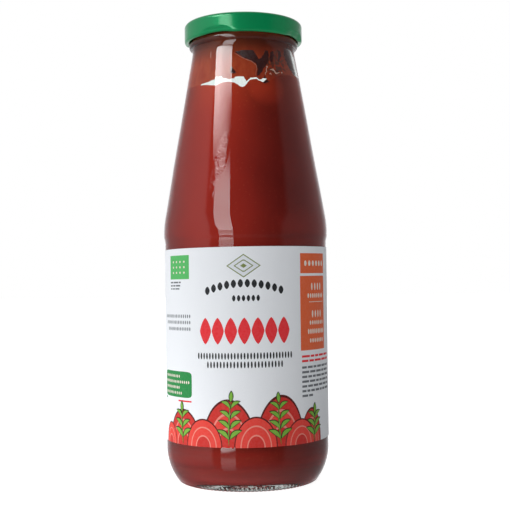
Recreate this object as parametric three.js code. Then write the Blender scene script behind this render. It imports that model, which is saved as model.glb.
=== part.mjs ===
// A full glass bottle of sieved tomatoes with a twist-off metal cap and a paper label.
// Millimetres, +Z up. The origin is the middle of the ring that the bottle stands on, and the
// label's front faces -Y. Every piece is turned about Z; a point at an azimuth of 0 is at -Y,
// and the azimuth grows towards +X.

import * as THREE from "three";

const { degToRad, lerp, radToDeg, smoothstep } = THREE.MathUtils;

// The bottle's outside.
const bodyRadius = 39.35; // the shoulder, which is the widest place
const panelRadius = 38.8; // the straight wall that carries the label
const panelBottom = 16.4;
const panelTop = 113.6;
const panelStep = 2.6; // above the panel the wall swells out over this height
const shoulderHeight = 118.4; // where the wall turns in to the cone
const shoulderArc = 44;
const coneAngle = 10; // degrees between the cone and the axis
const heelArc = 25.3;
const heelCorner = 2.5; // the small round under the heel
const neckRadius = 24.8;
const neckArc = 9; // the hollow curve between cone and neck
const beadRadius = 26.35; // the ring of glass below the cap
const beadBottom = 207.3;
const beadTop = 210.7;
const beadRound = 1.4;
const finishRadius = 24.6; // the mouth's wall, inside the cap
const rimHeight = 218.6;
const rimRound = 0.8;

// The bottle's underside and inside.
const footWidth = 2.4; // the flat ring that meets the table
const puntHeight = 3.2; // how far the middle of the underside is pushed up
const wall = 2.3;
const floorThickness = 4.6;
const innerHeelArc = 17;
const innerConeStart = 120.5;
const mouthRadius = 22.4;
const innerNeckHeight = 205.5; // where the inner cone meets the straight mouth

// The sauce.
const fillHeight = 187.6; // the usual level of its uneven top
const fillGap = 0.3; // kept to the glass
const fillSlope = 0.085; // the top is higher towards +X
const fillSkirt = 14; // how far below its top the wall starts to follow the uneven edge
const fillRings = 5;
const fillWaves = [
  { count: 3, phase: 0.6, height: 0.9 },
  { count: 5, phase: -1.1, height: 0.65 },
];

// The paper label.
const labelBottom = 20.9;
const labelTop = 110.6;
const labelGap = 0.08; // to the glass, and between the two layers at the seam
const labelThickness = 0.12;
const labelSkew = 0.0059; // the strip was wound on slightly aslant
const labelSeam = 168.75; // azimuth of the free end, in degrees
const labelOverlap = 11.25; // degrees that lie twofold at the seam
const labelLiftSteps = 2; // the free end climbs on to the start over these

// The cap.
const capRadius = 28.5;
const capBottom = 210.3;
const capTop = 219.5;
const capSheet = 0.35;
const capCorner = 1.8;
const curlRadius = 1.2; // the rolled lower edge
const capWellRadius = 20.6; // the sunk middle of the lid
const capWellDepth = 1.4;
const capWellRamp = 2;
const buttonRadius = 8.5; // the safety button, drawn down by the vacuum
const buttonRamp = 1.3; // from the button up to the sunk middle
const buttonDepth = 0.5;
const lugCount = 4;
const firstLug = 63; // azimuth of one of the lugs, in degrees
const lugHalfWidth = 20; // degrees
const lugHalfFlat = 6; // degrees
const lugInward = 1;
const lugUpward = 0.75;
const lugReach = 2.4; // how high above the curl's middle the skirt is drawn in

const bottleSegments = 64;
const capSegments = 80;

const point = (radius, height) => new THREE.Vector2(radius, height);

// Points on an arc in the profile. An angle of 0 faces outwards, and 90 faces up.
function arc(centre, radius, from, to, steps) {
  const points = [];
  for (let i = 0; i <= steps; i += 1) {
    const angle = degToRad(lerp(from, to, i / steps));
    points.push(
      point(centre.x + radius * Math.cos(angle), centre.y + radius * Math.sin(angle)),
    );
  }
  return points;
}

// Points on a shallow dome, from its top on the axis down to its rim.
function dome(rim, rise, steps) {
  const points = [];
  for (let i = 0; i <= steps; i += 1) {
    const share = i / steps;
    points.push(point(rim.x * share, rim.y + rise * (1 - share * share)));
  }
  return points;
}

// Turns a profile about Z. It runs so that the solid lies on its left hand.
function turned(profile, segments) {
  const geometry = new THREE.LatheGeometry(profile, segments);
  geometry.rotateX(Math.PI / 2);
  return geometry;
}

// Moves each vertex: place gets its azimuth, radius and height, and may change all three.
function reshape(geometry, place) {
  const position = geometry.getAttribute("position");
  for (let i = 0; i < position.count; i += 1) {
    const [x, y, z] = [position.getX(i), position.getY(i), position.getZ(i)];
    const moved = place(Math.atan2(x, -y), Math.hypot(x, y), z);
    position.setXYZ(
      i,
      moved.radius * Math.sin(moved.azimuth),
      -moved.radius * Math.cos(moved.azimuth),
      moved.height,
    );
  }
  return geometry;
}

// The height at which the cone's straight side reaches a radius.
function coneHeight(radius) {
  const sine = Math.sin(degToRad(coneAngle));
  const cosine = Math.cos(degToRad(coneAngle));
  const startRadius = bodyRadius - shoulderArc * (1 - cosine);
  return shoulderHeight + shoulderArc * sine + ((startRadius - radius) * cosine) / sine;
}

function bottleOutside() {
  const panelCentre = point(panelRadius - heelArc, panelBottom);
  const cornerReach = heelArc - heelCorner; // between the centres of the heel's two arcs
  const heelAngle = Math.asin((panelBottom - heelCorner) / cornerReach);
  const cornerCentre = point(
    panelCentre.x + cornerReach * Math.cos(heelAngle),
    heelCorner,
  );
  const heelDegrees = radToDeg(heelAngle);
  const shoulderCentre = point(bodyRadius - shoulderArc, shoulderHeight);
  const neckRise = neckArc * Math.tan(degToRad(coneAngle / 2));
  const neckCentre = point(neckRadius + neckArc, coneHeight(neckRadius) + neckRise);
  return [
    ...dome(point(cornerCentre.x - footWidth, 0), puntHeight, 5),
    ...arc(cornerCentre, heelCorner, -90, -heelDegrees, 3),
    ...arc(panelCentre, heelArc, -heelDegrees, 0, 7).slice(1),
    point(panelRadius, panelTop),
    point(lerp(panelRadius, bodyRadius, 0.5), panelTop + panelStep / 2),
    point(bodyRadius, panelTop + panelStep),
    ...arc(shoulderCentre, shoulderArc, 0, coneAngle, 3),
    ...arc(neckCentre, neckArc, 180 + coneAngle, 180, 2),
    point(neckRadius, beadBottom),
    ...arc(point(beadRadius - beadRound, beadBottom + beadRound), beadRound, -90, 0, 3),
    ...arc(point(beadRadius - beadRound, beadTop - beadRound), beadRound, 0, 90, 3),
    point(finishRadius, beadTop),
    ...arc(point(finishRadius - rimRound, rimHeight - rimRound), rimRound, 0, 90, 2),
  ];
}

// The inner wall from the mouth down to the middle of the floor, drawn in by gap.
function bottleInside(gap) {
  const innerPanel = panelRadius - wall - gap;
  const heelCentre = point(innerPanel - innerHeelArc, floorThickness + innerHeelArc + gap);
  const floorRim = point(heelCentre.x, floorThickness + gap);
  return [
    point(mouthRadius - gap, innerNeckHeight),
    point(innerPanel, innerConeStart),
    ...arc(heelCentre, innerHeelArc, 0, -90, 6),
    ...dome(floorRim, puntHeight, 2).reverse().slice(1),
  ];
}

function bottle() {
  const mouth = arc(point(mouthRadius + rimRound, rimHeight - rimRound), rimRound, 90, 180, 2);
  return turned([...bottleOutside(), ...mouth, ...bottleInside(0)], bottleSegments);
}

// The sauce fills the bottle up to its own uneven top.
function sauce() {
  const [neck, shoulder, ...below] = bottleInside(fillGap);
  const slope = (shoulder.x - neck.x) / (neck.y - shoulder.y);
  const edge = neck.x + (neck.y - fillHeight) * slope;
  const top = [];
  for (let ring = fillRings - 1; ring >= 0; ring -= 1)
    top.push(point((edge * ring) / fillRings, fillHeight));
  const profile = [
    ...below.reverse(),
    shoulder,
    point(edge + fillSkirt * slope, fillHeight - fillSkirt),
    point(edge, fillHeight),
    ...top,
  ];
  return reshape(turned(profile, bottleSegments), (azimuth, radius, height) => {
    if (height < fillHeight) return { azimuth, radius, height };
    let rise = fillSlope * radius * Math.sin(azimuth);
    for (const wave of fillWaves)
      rise += (wave.height * Math.sin(wave.count * azimuth + wave.phase) * radius) / edge;
    return { azimuth, radius: Math.min(radius, edge - rise * slope), height: height + rise };
  });
}

// A strip of paper wound once round the panel. Its free end lies over its start.
function label() {
  const step = 360 / bottleSegments;
  const steps = Math.round((360 + labelOverlap) / step);
  const inner = panelRadius + labelGap;
  const lift = labelThickness + labelGap;
  const vertices = [];
  for (let i = 0; i <= steps; i += 1) {
    const turn = i * step;
    const azimuth = degToRad(labelSeam - 360 - labelOverlap + turn);
    const raised = inner + lift * smoothstep(turn, 360 - labelLiftSteps * step, 360);
    const rise = labelSkew * panelRadius * azimuth;
    for (const [radius, height] of [
      [raised, labelBottom],
      [raised + labelThickness, labelBottom],
      [raised + labelThickness, labelTop],
      [raised, labelTop],
    ])
      vertices.push(radius * Math.sin(azimuth), -radius * Math.cos(azimuth), height + rise);
  }
  const faces = [0, 1, 2, 0, 2, 3];
  for (let i = 0; i < steps; i += 1)
    for (let side = 0; side < 4; side += 1) {
      const a = 4 * i + side;
      const b = 4 * i + ((side + 1) % 4);
      faces.push(a, b + 4, b, a, a + 4, b + 4);
    }
  const last = 4 * steps;
  faces.push(last, last + 2, last + 1, last, last + 3, last + 2);
  const geometry = new THREE.BufferGeometry();
  geometry.setAttribute("position", new THREE.Float32BufferAttribute(vertices, 3));
  geometry.setIndex(faces);
  geometry.computeVertexNormals();
  return geometry;
}

// The lid and skirt are one thin sheet. Its lower edge is rolled inwards.
function capProfile() {
  const well = capTop - capWellDepth;
  const lid = [
    point(0, well - buttonDepth),
    point(buttonRadius, well - buttonDepth),
    point(buttonRadius + buttonRamp, well),
    point(capWellRadius, well),
    point(capWellRadius + capWellRamp, capTop),
  ];
  const cornerCentre = point(capRadius - capCorner, capTop - capCorner);
  const curlCentre = point(capRadius - curlRadius, capBottom + curlRadius);
  return [
    ...lid.map(({ x, y }) => point(x, y - capSheet)),
    ...arc(cornerCentre, capCorner - capSheet, 90, 0, 2),
    point(capRadius - capSheet, capBottom + 2.5 * curlRadius),
    ...arc(curlCentre, curlRadius, 110, 360, 6),
    point(capRadius, curlCentre.y + lugReach / 2),
    point(capRadius, curlCentre.y + lugReach),
    ...arc(cornerCentre, capCorner, 0, 90, 3),
    ...lid.reverse(),
  ];
}

// 1 at the middle of a lug, 0 between the lugs.
function lugShare(azimuth) {
  const spacing = degToRad(360 / lugCount);
  const turn = azimuth - degToRad(firstLug);
  const offset = Math.abs(turn - Math.round(turn / spacing) * spacing);
  return 1 - smoothstep(offset, degToRad(lugHalfFlat), degToRad(lugHalfWidth));
}

// At each lug the foot of the skirt is pressed in and a little up.
function cap() {
  const foot = capBottom + curlRadius;
  return reshape(turned(capProfile(), capSegments), (azimuth, radius, height) => {
    const low = 1 - smoothstep(height, foot, foot + lugReach);
    const share = radius > mouthRadius ? low * lugShare(azimuth) : 0;
    return {
      azimuth,
      radius: radius - lugInward * share,
      height: height + lugUpward * share,
    };
  });
}

const glass = new THREE.MeshStandardMaterial({
  color: 0xdfe8e4,
  roughness: 0.04,
  metalness: 0,
  transparent: true,
  opacity: 0.3,
});
const tomato = new THREE.MeshStandardMaterial({ color: 0x8c1f14, roughness: 0.45, metalness: 0 });
const paper = new THREE.MeshStandardMaterial({ color: 0xe9ecee, roughness: 0.7, metalness: 0 });
const lacquer = new THREE.MeshStandardMaterial({ color: 0x0f8a4b, roughness: 0.3, metalness: 0.1 });

const passataBottle = new THREE.Group();
for (const [name, geometry, material] of [
  ["bottle", bottle(), glass],
  ["passata", sauce(), tomato],
  ["label", label(), paper],
  ["cap", cap(), lacquer],
]) {
  const piece = new THREE.Mesh(geometry, material);
  piece.name = name;
  passataBottle.add(piece);
}

export default passataBottle;
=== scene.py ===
# A full bottle of sieved tomatoes in clear glass, with a green twist-off cap and a paper label.
# Sizes are in millimetres and heights are above the table. A turn is an angle round the bottle,
# in degrees from the middle of the label's front towards +X.
import math

import bmesh
import bpy
import numpy as np
from mathutils import Matrix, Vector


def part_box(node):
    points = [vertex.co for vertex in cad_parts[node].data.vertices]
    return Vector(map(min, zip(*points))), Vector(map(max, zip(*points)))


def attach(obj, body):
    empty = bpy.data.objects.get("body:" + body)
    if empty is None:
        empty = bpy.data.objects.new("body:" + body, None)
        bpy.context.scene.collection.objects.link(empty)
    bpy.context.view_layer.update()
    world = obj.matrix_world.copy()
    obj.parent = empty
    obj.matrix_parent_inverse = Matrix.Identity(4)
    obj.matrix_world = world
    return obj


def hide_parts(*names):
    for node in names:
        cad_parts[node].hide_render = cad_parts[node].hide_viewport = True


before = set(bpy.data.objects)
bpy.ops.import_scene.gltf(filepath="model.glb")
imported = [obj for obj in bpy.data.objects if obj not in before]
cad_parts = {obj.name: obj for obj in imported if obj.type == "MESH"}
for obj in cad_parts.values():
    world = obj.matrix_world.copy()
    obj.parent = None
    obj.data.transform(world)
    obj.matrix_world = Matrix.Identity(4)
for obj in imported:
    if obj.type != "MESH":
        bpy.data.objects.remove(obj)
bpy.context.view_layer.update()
mm = 0.001

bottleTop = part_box("bottle")[1] / mm
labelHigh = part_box("label")[1] / mm
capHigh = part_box("cap")[1] / mm


def srgb(hexCode):
    # sRGB hex to the linear values that the shaders work in, and an alpha of 1
    parts = [int(hexCode[i:i + 2], 16) / 255 for i in (1, 3, 5)]
    return [c / 12.92 if c <= 0.04045 else ((c + 0.055) / 1.055) ** 2.4 for c in parts] + [1.0]


def smoothStep(value, low, high):
    # 0 below low, 1 above high, and 3t^2 - 2t^3 between them
    t = np.clip((value - low) / (high - low), 0, 1)
    return t * t * (3 - 2 * t)


def arcPoints(centre, radius, fromDegrees, toDegrees, steps):
    # points on a circle; 0 degrees faces outwards and 90 faces up
    angle = np.radians(np.linspace(fromDegrees, toDegrees, steps + 1))
    return np.stack([centre[0] + radius * np.cos(angle), centre[1] + radius * np.sin(angle)], 1)


def linePoints(start, end, steps):
    # evenly spaced points on a straight line, both ends included
    return np.linspace(start, end, steps + 1)


def roundBottle(radius, turn, height):
    # cylinder coordinates to x, y, z, with the turn in radians
    return np.stack(np.broadcast_arrays(radius * np.sin(turn), -radius * np.cos(turn), height), -1)


def ripple(turn, height, seed, turns=(2, 12), length=(15, 60), count=14):
    # sum of plane waves round the bottle; each closes after a whole number of waves
    random = np.random.default_rng(seed)
    total = 0
    for wave in range(count):
        around = random.integers(*turns) * random.choice((-1, 1))
        along = 2 * np.pi / random.uniform(*length)
        total = total + np.sin(around * turn + along * height + random.uniform(0, 2 * np.pi))
    return total / math.sqrt(count / 2)


def roundHeights(listed, turn):
    # listed heights joined by smooth steps, all the way round
    places = np.radians([place for place, height in listed])
    levels = np.array([height for place, height in listed])
    places = np.concatenate([places[-1:] - 2 * np.pi, places, places[:1] + 2 * np.pi])
    levels = np.concatenate([levels[-1:], levels, levels[:1]])
    turn = (turn + np.pi) % (2 * np.pi) - np.pi
    after = np.clip(np.searchsorted(places, turn), 1, len(places) - 1)
    share = smoothStep((turn - places[after - 1]) / (places[after] - places[after - 1]), 0, 1)
    return levels[after - 1] * (1 - share) + levels[after] * share


def gridFaces(rows, columns, wrapRows=False, wrapColumns=False):
    # four corners of every cell of a grid whose point (i, j) has the number i * columns + j
    i = np.arange(rows if wrapRows else rows - 1)[:, None]
    j = np.arange(columns if wrapColumns else columns - 1)[None, :]
    up, across = (i + 1) % rows, (j + 1) % columns
    corners = (i * columns + j, i * columns + across, up * columns + across, up * columns + j)
    return np.stack(corners, -1).reshape(-1, 4)


def makePiece(name, points, faces, material, replaced=(), sharpDegrees=40, second=None):
    # millimetres in, a smooth closed mesh that rides on the bottle out; second is another material
    # and, for each face, whether it has it
    mesh = bpy.data.meshes.new(name)
    mesh.from_pydata((points.reshape(-1, 3) * mm).tolist(), [], faces.tolist())
    mesh.materials.append(material)
    if second:
        mesh.materials.append(second[0])
        mesh.polygons.foreach_set("material_index", np.asarray(second[1], np.int32))
    work = bmesh.new()
    work.from_mesh(mesh)
    bmesh.ops.remove_doubles(work, verts=work.verts, dist=2e-7)
    bmesh.ops.recalc_face_normals(work, faces=work.faces)
    work.to_mesh(mesh)
    work.free()
    mesh.shade_smooth()
    mesh.set_sharp_from_angle(angle=math.radians(sharpDegrees))
    piece = bpy.data.objects.new(name, mesh)
    bpy.context.scene.collection.objects.link(piece)
    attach(piece, "root")
    if replaced:
        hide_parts(*replaced)
    return piece


def addNode(tree, kind, settings=None, **inputs):
    # adds a shader node; an input is named by its label, or by i and its number where labels repeat,
    # and a node given to it stands for that node's first output
    new = tree.nodes.new("ShaderNode" + kind)
    for key, value in (settings or {}).items():
        setattr(new, key, value)
    for key, value in inputs.items():
        socket = new.inputs[int(key[1:]) if key[1:].isdigit() else key.replace("_", " ")]
        if isinstance(value, bpy.types.Node):
            value = value.outputs[0]
        if isinstance(value, bpy.types.NodeSocket):
            tree.links.new(value, socket)
        else:
            socket.default_value = value
    return new


def newMaterial(name):
    # a material with an empty node tree
    material = bpy.data.materials.new(name)
    material.use_nodes = True
    tree = material.node_tree
    tree.nodes.clear()
    return material, tree


# settings that many nodes share
asColours = {"data_type": "RGBA"}
tinting = {"data_type": "RGBA", "blend_type": "MULTIPLY", "clamp_result": False}
smoothly = {"interpolation_type": "SMOOTHSTEP"}
times = {"operation": "MULTIPLY"}


def setStops(ramp, listed):
    # places and colours of a colour ramp, which has two stops to start with
    stops = ramp.color_ramp.elements
    for number, (place, colour) in enumerate(listed):
        stop = stops[number] if number < 2 else stops.new(place)
        stop.position = place
        stop.color = (*colour, 1)


def cells(width):
    # scale of a pattern: the number of cells in a metre, from the width of one in millimetres
    return 1 / (width * mm)


def ballShare(tree, spot, centre, reach):
    # 1 at the centre, falling evenly to 0 at the reach along each axis, both in millimetres
    ball = addNode(tree, "Mapping", Vector=spot, Scale=[1 / (half * mm) for half in reach],
                   Location=[-middle / half for middle, half in zip(centre, reach)])
    return addNode(tree, "TexGradient", {"gradient_type": "SPHERICAL"}, Vector=ball).outputs[1]


def mottled(tree, width, detail, dark, light):
    # a mix of two colours by noise in the piece's own coordinates
    spot = addNode(tree, "TexCoord").outputs["Object"]
    noise = addNode(tree, "TexNoise", Vector=spot, Scale=cells(width), Detail=detail)
    return addNode(tree, "Mix", asColours, i0=noise, i6=srgb(dark), i7=srgb(light)).outputs[2]


# Camera: 490 mm in front and a little below the middle, turned up slightly, as the photo shows
view = {
    "distance": 489.7,
    "height": 94.56,
    "aim": (4.48, 0, 107.74),
    "roll": -0.0119,  # radians; the bottle leans slightly to the left in the picture
    "lens": 71.27,
}
eye = np.array([0, -view["distance"], view["height"]])
forward = np.array(view["aim"]) - eye
forward /= np.linalg.norm(forward)
level = np.cross(forward, [0, 0, 1])
level /= np.linalg.norm(level)
upright = np.cross(level, forward)
cosRoll, sinRoll = math.cos(view["roll"]), math.sin(view["roll"])
axes = np.stack([cosRoll * level + sinRoll * upright, cosRoll * upright - sinRoll * level, -forward], 1)
cameraData = bpy.data.cameras.new("camera")
cameraData.lens = view["lens"]
cameraData.sensor_width = 36
cameraData.clip_start = 0.01
camera = bpy.data.objects.new("camera", cameraData)
placed = np.eye(4)
placed[:3, :3] = axes
placed[:3, 3] = eye * mm
camera.matrix_world = Matrix(placed.tolist())
bpy.context.scene.collection.objects.link(camera)
bpy.context.scene.camera = camera
bpy.context.scene.view_settings.view_transform = "Standard"
print("camera placed")

# Stage: white surroundings, a dim side in front of the bottle, and a tall leaning softbox
studio = {
    "mirrored": (  # turn in degrees, brightness of what the glass mirrors there
        (-180, 1.0), (-165, 0.8), (-134, 0.36), (-95, 0.55), (-72, 0.66), (-66, 0.62), (-61, 0.07),
        (66, 0.05), (76, 0.22), (116, 0.28), (140, 0.32), (165, 0.8), (180, 1.0),
    ),
    "falling": (  # turn in degrees, brightness of the light that falls on the bottle from there
        (-180, 1.0), (-150, 0.9), (-100, 1.15), (-75, 1.4), (-60, 1.3), (-42, 1.1), (0, 0.7),
        (40, 0.17), (110, 0.09), (130, 0.3), (155, 1.0), (180, 1.0),
    ),
    "floorShine": 0.34,  # brightness of the near table, as mirrored
    "softboxReach": 600,
    "softboxRows": (  # height, turn of the left edge, turn of the right edge
        (-420, -38, -17), (-84.4, -37, -16.5), (147, -36, -16.3), (206, -41, -18), (365, -46, -21.5),
        (386, -45.5, -22), (402, -51, -22.5), (525, -64, -24.5), (640, -70, -26),
    ),
    "softboxPower": (  # height, brightness as mirrored at its left and at its right
        (-420, 0.4, 0.4), (-330, 1.0, 1.0), (-220, 1.3, 1.3), (-140, 1.4, 1.4), (-105, 1.1, 1.1),
        (-91, 0.4, 0.4), (-86.4, 0.3, 0.3), (-84.4, 5.4, 5.4), (130, 2.6, 2.6), (143, 2.4, 2.4),
        (147, 6.5, 6.5), (206, 5.4, 5.4), (364, 4.8, 4.8), (379, 5.3, 5.3), (393, 3.9, 5.2),
        (406, 2.0, 4.4), (420, 2.2, 2.6), (434, 3.6, 1.2), (447, 5.6, 1.0), (461, 7.4, 0.9),
        (475, 9.4, 0.7), (489, 11.0, 1.0), (503, 14.0, 2.5), (525, 13.0, 7.0), (545, 13.0, 10.0),
        (640, 13.0, 13.0),
    ),
    "softboxBlend": (-446, -254),  # places along X where it has its left and its right brightness
    "softboxFill": 0.19,  # share of that power that lights the bottle
    "floorReach": 6000,
    "floorLight": (1.6, 0.1, 0.25),  # the table's own light: left and right of the bottle, and far off
    "floorBlend": (-80, 60),  # places along X where it has the first and the second of these
    "floorFade": (60, 200),  # distances from the bottle's axis where the third starts and is reached
    "floorContact": (40, 85, 0.7),  # distances where it is dimmed and no longer dimmed, and to what share
    "floorGlow": 0.9,  # the table's own light, as the camera sees it
}


def mirrorShare(tree):
    # 1 for a ray that a smooth surface mirrored, 0 for any other
    path = addNode(tree, "LightPath")
    both = addNode(tree, "Math", times, i0=path.outputs["Is Glossy Ray"],
                   i1=path.outputs["Is Reflection Ray"])
    return both.outputs[0]


world = bpy.data.worlds.new("studio")
bpy.context.scene.world = world
world.use_nodes = True
tree = world.node_tree
tree.nodes.clear()
way = addNode(tree, "SeparateXYZ", Vector=addNode(tree, "TexCoord").outputs["Generated"])
behind = addNode(tree, "Math", times, i0=way.outputs["Y"], i1=-1.0)
turnAngle = addNode(tree, "Math", {"operation": "ARCTAN2"}, i0=way.outputs["X"], i1=behind)
# low down, the dark front that the glass mirrors is narrower, and most of all on the right
bySide = addNode(tree, "MapRange", Value=turnAngle, i1=-0.5, i2=0.5, i3=0.25, i4=0.38)
byHeight = addNode(tree, "MapRange", smoothly, Value=way.outputs["Z"], i1=0.08, i2=0.5, i3=1.0, i4=0.0)
sideways = addNode(tree, "Math", {"operation": "ABSOLUTE"}, i0=turnAngle)
byTurn = addNode(tree, "MapRange", Value=sideways, i1=1.1, i2=2.1, i3=1.0, i4=0.0)
narrowing = addNode(tree, "Math", times, i0=byHeight, i1=byTurn)
narrowed = addNode(tree, "Math", {"operation": "MULTIPLY_ADD"}, i0=narrowing, i1=bySide, i2=1.0)
mirrorAngle = addNode(tree, "Math", times, i0=turnAngle, i1=narrowed)


def roundRamp(listed, angle):
    # brightness round the bottle, very slightly blue, between turns in degrees
    share = addNode(tree, "MapRange", i1=-math.pi, i2=math.pi, Value=angle)
    ramp = addNode(tree, "ValToRGB", Fac=share)
    setStops(ramp, [((turn + 180) / 360, (light, light, light * 1.02)) for turn, light in listed])
    return ramp.outputs[0]


below = addNode(tree, "MapRange", i1=-0.62, i2=-0.24, Value=way.outputs["Z"])
mirrored = addNode(tree, "Mix", asColours, i0=below, i6=[studio["floorShine"]] * 3 + [1],
                   i7=roundRamp(studio["mirrored"], mirrorAngle.outputs[0]))
lit = addNode(tree, "Mix", asColours, i0=mirrorShare(tree),
              i6=roundRamp(studio["falling"], turnAngle.outputs[0]), i7=mirrored.outputs[2])
seen = addNode(tree, "LightPath").outputs["Is Camera Ray"]
shown = addNode(tree, "Mix", asColours, i0=seen, i6=lit.outputs[2], i7=[1, 1, 1, 1])
sky = addNode(tree, "Background", Color=shown.outputs[2])
addNode(tree, "OutputWorld", Surface=sky)


def stagePiece(name, points, faces, material):
    # millimetres in, a plain piece of the studio out
    mesh = bpy.data.meshes.new(name)
    mesh.from_pydata((np.asarray(points, float).reshape(-1, 3) * mm).tolist(), [], faces)
    mesh.materials.append(material)
    thing = bpy.data.objects.new(name, mesh)
    bpy.context.scene.collection.objects.link(thing)
    return thing


softboxCloth, tree = newMaterial("softbox cloth lit from inside")
place = addNode(tree, "SeparateXYZ", Vector=addNode(tree, "TexCoord").outputs["Object"])
foot, tall = studio["softboxPower"][0][0], studio["softboxPower"][-1][0] - studio["softboxPower"][0][0]
upBox = addNode(tree, "MapRange", Value=place.outputs["Z"], i1=foot * mm, i2=(foot + tall) * mm)
ends = []
for end in (1, 2):
    power = addNode(tree, "ValToRGB", Fac=upBox)
    setStops(power, [((row[0] - foot) / tall, [row[end]] * 3) for row in studio["softboxPower"]])
    ends.append(power.outputs[0])
acrossBox = addNode(tree, "MapRange", Value=place.outputs["X"], i1=studio["softboxBlend"][0] * mm,
                    i2=studio["softboxBlend"][1] * mm)
power = addNode(tree, "Mix", asColours, i0=acrossBox, i6=ends[0], i7=ends[1])
fill = addNode(tree, "MapRange", Value=mirrorShare(tree), i3=studio["softboxFill"], i4=1.0)
strength = addNode(tree, "Math", times, i0=power.outputs[2], i1=fill)
glow = addNode(tree, "Emission", Strength=strength)
addNode(tree, "OutputMaterial", Surface=glow)
edges = np.radians([[left, right] for height, left, right in studio["softboxRows"]])
heights = np.array([[height] for height, left, right in studio["softboxRows"]])
softbox = stagePiece("softbox", roundBottle(studio["softboxReach"], edges, heights),
                     gridFaces(len(heights), 2).tolist(), softboxCloth)
softbox.visible_camera = False  # the bottle shows it, and the camera sees the white behind it

floorPaint, tree = newMaterial("white painted table")
paint = addNode(tree, "BsdfDiffuse", Color=[0.55, 0.55, 0.55, 1])
spot = addNode(tree, "TexCoord").outputs["Object"]
alongX = addNode(tree, "SeparateXYZ", Vector=spot)
far = addNode(tree, "VectorMath", {"operation": "LENGTH"}, i0=spot)
lamplit = addNode(tree, "MapRange", smoothly, Value=alongX.outputs["X"], i1=studio["floorBlend"][0] * mm,
                  i2=studio["floorBlend"][1] * mm, i3=studio["floorLight"][0], i4=studio["floorLight"][1])
near = addNode(tree, "MapRange", smoothly, Value=far.outputs["Value"], i1=studio["floorFade"][0] * mm,
               i2=studio["floorFade"][1] * mm, i3=lamplit, i4=studio["floorLight"][2])
close, clearOf, dimming = studio["floorContact"]
contact = addNode(tree, "MapRange", Value=far.outputs["Value"], i1=close * mm, i2=clearOf * mm,
                  i3=dimming, i4=1.0)
dimmed = addNode(tree, "Math", times, i0=near, i1=contact)
seen = addNode(tree, "LightPath").outputs["Is Camera Ray"]
glow = addNode(tree, "MapRange", Value=seen, i3=dimmed, i4=studio["floorGlow"])
lift = addNode(tree, "Emission", Strength=glow)
both = addNode(tree, "AddShader", i0=paint, i1=lift)
addNode(tree, "OutputMaterial", Surface=both)
floorCorners = np.array([(-1, -1, 0), (1, -1, 0), (1, 1, 0), (-1, 1, 0)]) * studio["floorReach"]
floor = stagePiece("floor", floorCorners, [(0, 1, 2, 3)], floorPaint)
floor.visible_glossy = False
print("stage set")

# Glass bottle: turned profile, uneven as blown glass is, with knurls where it stands
glass = {
    "segments": 576,
    "panelRadius": 38.8,
    "panelBottom": 16.4,
    "panelTop": 113.6,
    "panelStep": 3.4,
    "shoulderHeight": 118.4,
    "shoulderArc": 44,
    "coneAngle": 10,
    "heelArc": 25.3,
    "heelCorner": 2.5,
    "footWidth": 2.4,
    "puntHeight": 3.2,
    "neckRadius": 24.8,
    "beadRadius": 26.35,
    "beadBottom": 207.3,
    "beadTop": 210.7,
    "beadRound": 1.4,
    "finishRadius": 24.6,
    "rimRound": 0.8,
    "wall": 2.3,
    "floorThickness": 4.6,
    "innerHeelArc": 17,
    "innerConeStart": 120.5,
    "mouthRadius": 22.4,
    "innerNeckHeight": 205.5,
    "outerWave": 0.035,  # how far the outside wanders from a true turned form
    "innerWave": 0.14,
    "knurls": 104,  # ribs round the foot, 2 mm apart, aslant
    "knurlDepth": 0.34,
    "knurlTop": 2.4,
    "knurlSlant": 1.1,  # radians for each millimetre of height
    "knurlRadii": (27.5, 30, 30.5, 32),  # where they start and are full, and the same for their cut
    "footHeight": 4,  # the ribs stay below it
    "floorRadius": 20,  # the inside has no waves nearer to its middle
    "mouthRound": 0.8,
    "wrinkleWidth": 2.381,  # of one cooling wrinkle
    "wrinkleCentre": (-11.2, -32.2, 148.5),  # of the band of them
    "wrinkleReach": (3, 12, 16.5),
    "wrinkleLean": -14,
}


def innerRadius(height):
    # straight wall below, cone above and a bore at the mouth, blended where they meet:
    # the lesser of a and b is (a + b - |a - b|) / 2, rounded by adding a length under the root
    panel = glass["panelRadius"] - glass["wall"]
    slope = (panel - glass["mouthRadius"]) / (glass["innerNeckHeight"] - glass["innerConeStart"])
    cone = panel - (height - glass["innerConeStart"]) * slope
    wall = (panel + cone - np.sqrt((panel - cone) ** 2 + 1.2)) / 2
    return (wall + glass["mouthRadius"] + np.sqrt((wall - glass["mouthRadius"]) ** 2 + 0.3)) / 2


def innerWave(turn, height):
    # the inside of a blown wall is never true; the wave dies away at the mouth and the floor
    calm = smoothStep(height, 8, 30) * (1 - smoothStep(height, 200, 208))
    return glass["innerWave"] * calm * ripple(turn, height, 5, (1, 7), (25, 90))


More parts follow.
